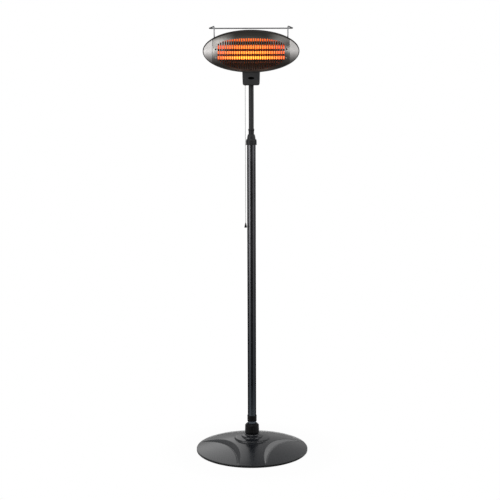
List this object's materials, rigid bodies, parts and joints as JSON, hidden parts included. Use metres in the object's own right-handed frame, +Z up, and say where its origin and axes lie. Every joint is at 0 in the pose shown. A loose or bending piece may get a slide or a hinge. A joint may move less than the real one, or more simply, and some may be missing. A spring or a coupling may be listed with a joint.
{
  "type": "outdoor heater",
  "caption": "Free-standing electric quartz patio heater with an oval slotted head, pull cord, telescopic pole and round weighted base.",
  "frame": {"origin": "on the floor, below the pole's axis, at the middle of the base", "axes": "+Z up along the pole; the heating face looks along -Y; the pull cord hangs at -X"},
  "size_m": [0.5, 0.5, 1.8775],
  "materials": {
    "base_enamel": "gloss",
    "black_plastic": "satin",
    "black_enamel": "gloss",
    "pole_enamel": "gloss",
    "cast_iron": "matt",
    "steel": "satin",
    "foot_rubber": "matt",
    "nylon": "satin",
    "box_plastic": "satin",
    "oval_black": "gloss",
    "switch_plastic": "satin",
    "cord": "matt",
    "knob_plastic": "gloss",
    "casing_enamel": "satin",
    "grille_steel": "satin",
    "cap_silver": "satin metallic",
    "screw_dark": "satin",
    "screw_bright": "polished",
    "reflector_sheet": "polished",
    "inner_steel": "satin",
    "quartz": "clear, glowing when lit",
    "coil": "glowing",
    "ceramic": "matt",
    "guard_chrome": "polished"
  },
  "bodies": {
    "stand": {"base_cover": "base_enamel", "base_tray": "black_enamel", "base_weight": "cast_iron", "base_feet": "foot_rubber", "cover_screws": "steel", "base_socket": "black_enamel", "socket_screws": "steel", "base_collet": "black_plastic", "base_nut": "black_plastic", "pole_ferrule": "black_plastic", "lower_pole_bottom": "pole_enamel", "lower_pole_middle": "pole_enamel", "lower_pole_top": "pole_enamel", "collar_body": "black_plastic", "grip_collet": "nylon"},
    "clamp_ring": {"lock_ring": "black_plastic"},
    "bush": {"guide_bush": "nylon"},
    "mast": {"upper_pole": "black_enamel", "bush_clip": "steel", "pole_foot": "black_plastic", "pole_head": "inner_steel"},
    "head": {"box_front": "box_plastic", "box_rear": "box_plastic", "box_screws": "steel", "oval_plug": "oval_black", "tilt_bracket": "inner_steel", "bracket_screws": "steel", "pivot_bolt": "steel", "pivot_nut": "steel", "friction_washers": "steel", "pull_switch": "switch_plastic", "cord_eyelet": "black_plastic", "terminal_block": "switch_plastic", "cable_gland": "black_plastic", "rear_casing": "casing_enamel", "front_panel": "grille_steel", "end_cap_left": "cap_silver", "end_cap_right": "cap_silver", "panel_screws_upper": "screw_dark", "panel_screws_lower": "screw_bright", "reflector": "reflector_sheet", "bulkhead_left": "inner_steel", "bulkhead_right": "inner_steel", "quartz_tube_1": "quartz", "quartz_tube_2": "quartz", "quartz_tube_3": "quartz", "heating_coil_1": "coil", "heating_coil_2": "coil", "heating_coil_3": "coil", "ceramic_caps": "ceramic", "guard_wire": "guard_chrome", "guard_nuts": "steel"},
    "actuator": {"switch_actuator": "switch_plastic"},
    "cord": {"pull_cord": "cord", "cord_knob": "knob_plastic"}
  },
  "joints": [
    {"name": "clamp_turn", "type": "hinge", "parent": "stand", "child": "clamp_ring", "pos_m": [0, 0, 1.38], "axis": [0, 0, 1], "range_deg": [0, 120]},
    {"name": "pole_slide", "type": "slide", "parent": "stand", "child": "bush", "axis": [0, 0, 1], "range_m": [-0.17, 0.17]},
    {"name": "pole_swivel", "type": "hinge", "parent": "bush", "child": "mast", "pos_m": [0, 0, 1.146], "axis": [0, 0, 1], "range_deg": [-180, 180]},
    {"name": "head_tilt", "type": "hinge", "parent": "mast", "child": "head", "pos_m": [0, 0, 1.652], "axis": [1, 0, 0], "range_deg": [-10, 30]},
    {"name": "cord_pull", "type": "slide", "parent": "head", "child": "actuator", "axis": [0, 0, -1], "range_m": [0, 0.012], "stiffness_N_per_m": 800},
    {"name": "cord_swing", "type": "hinge", "parent": "actuator", "child": "cord", "pos_m": [-0.0256, -0.016, 1.6229], "axis": [1, 0, 0], "range_deg": [-30, 30]}
  ]
}
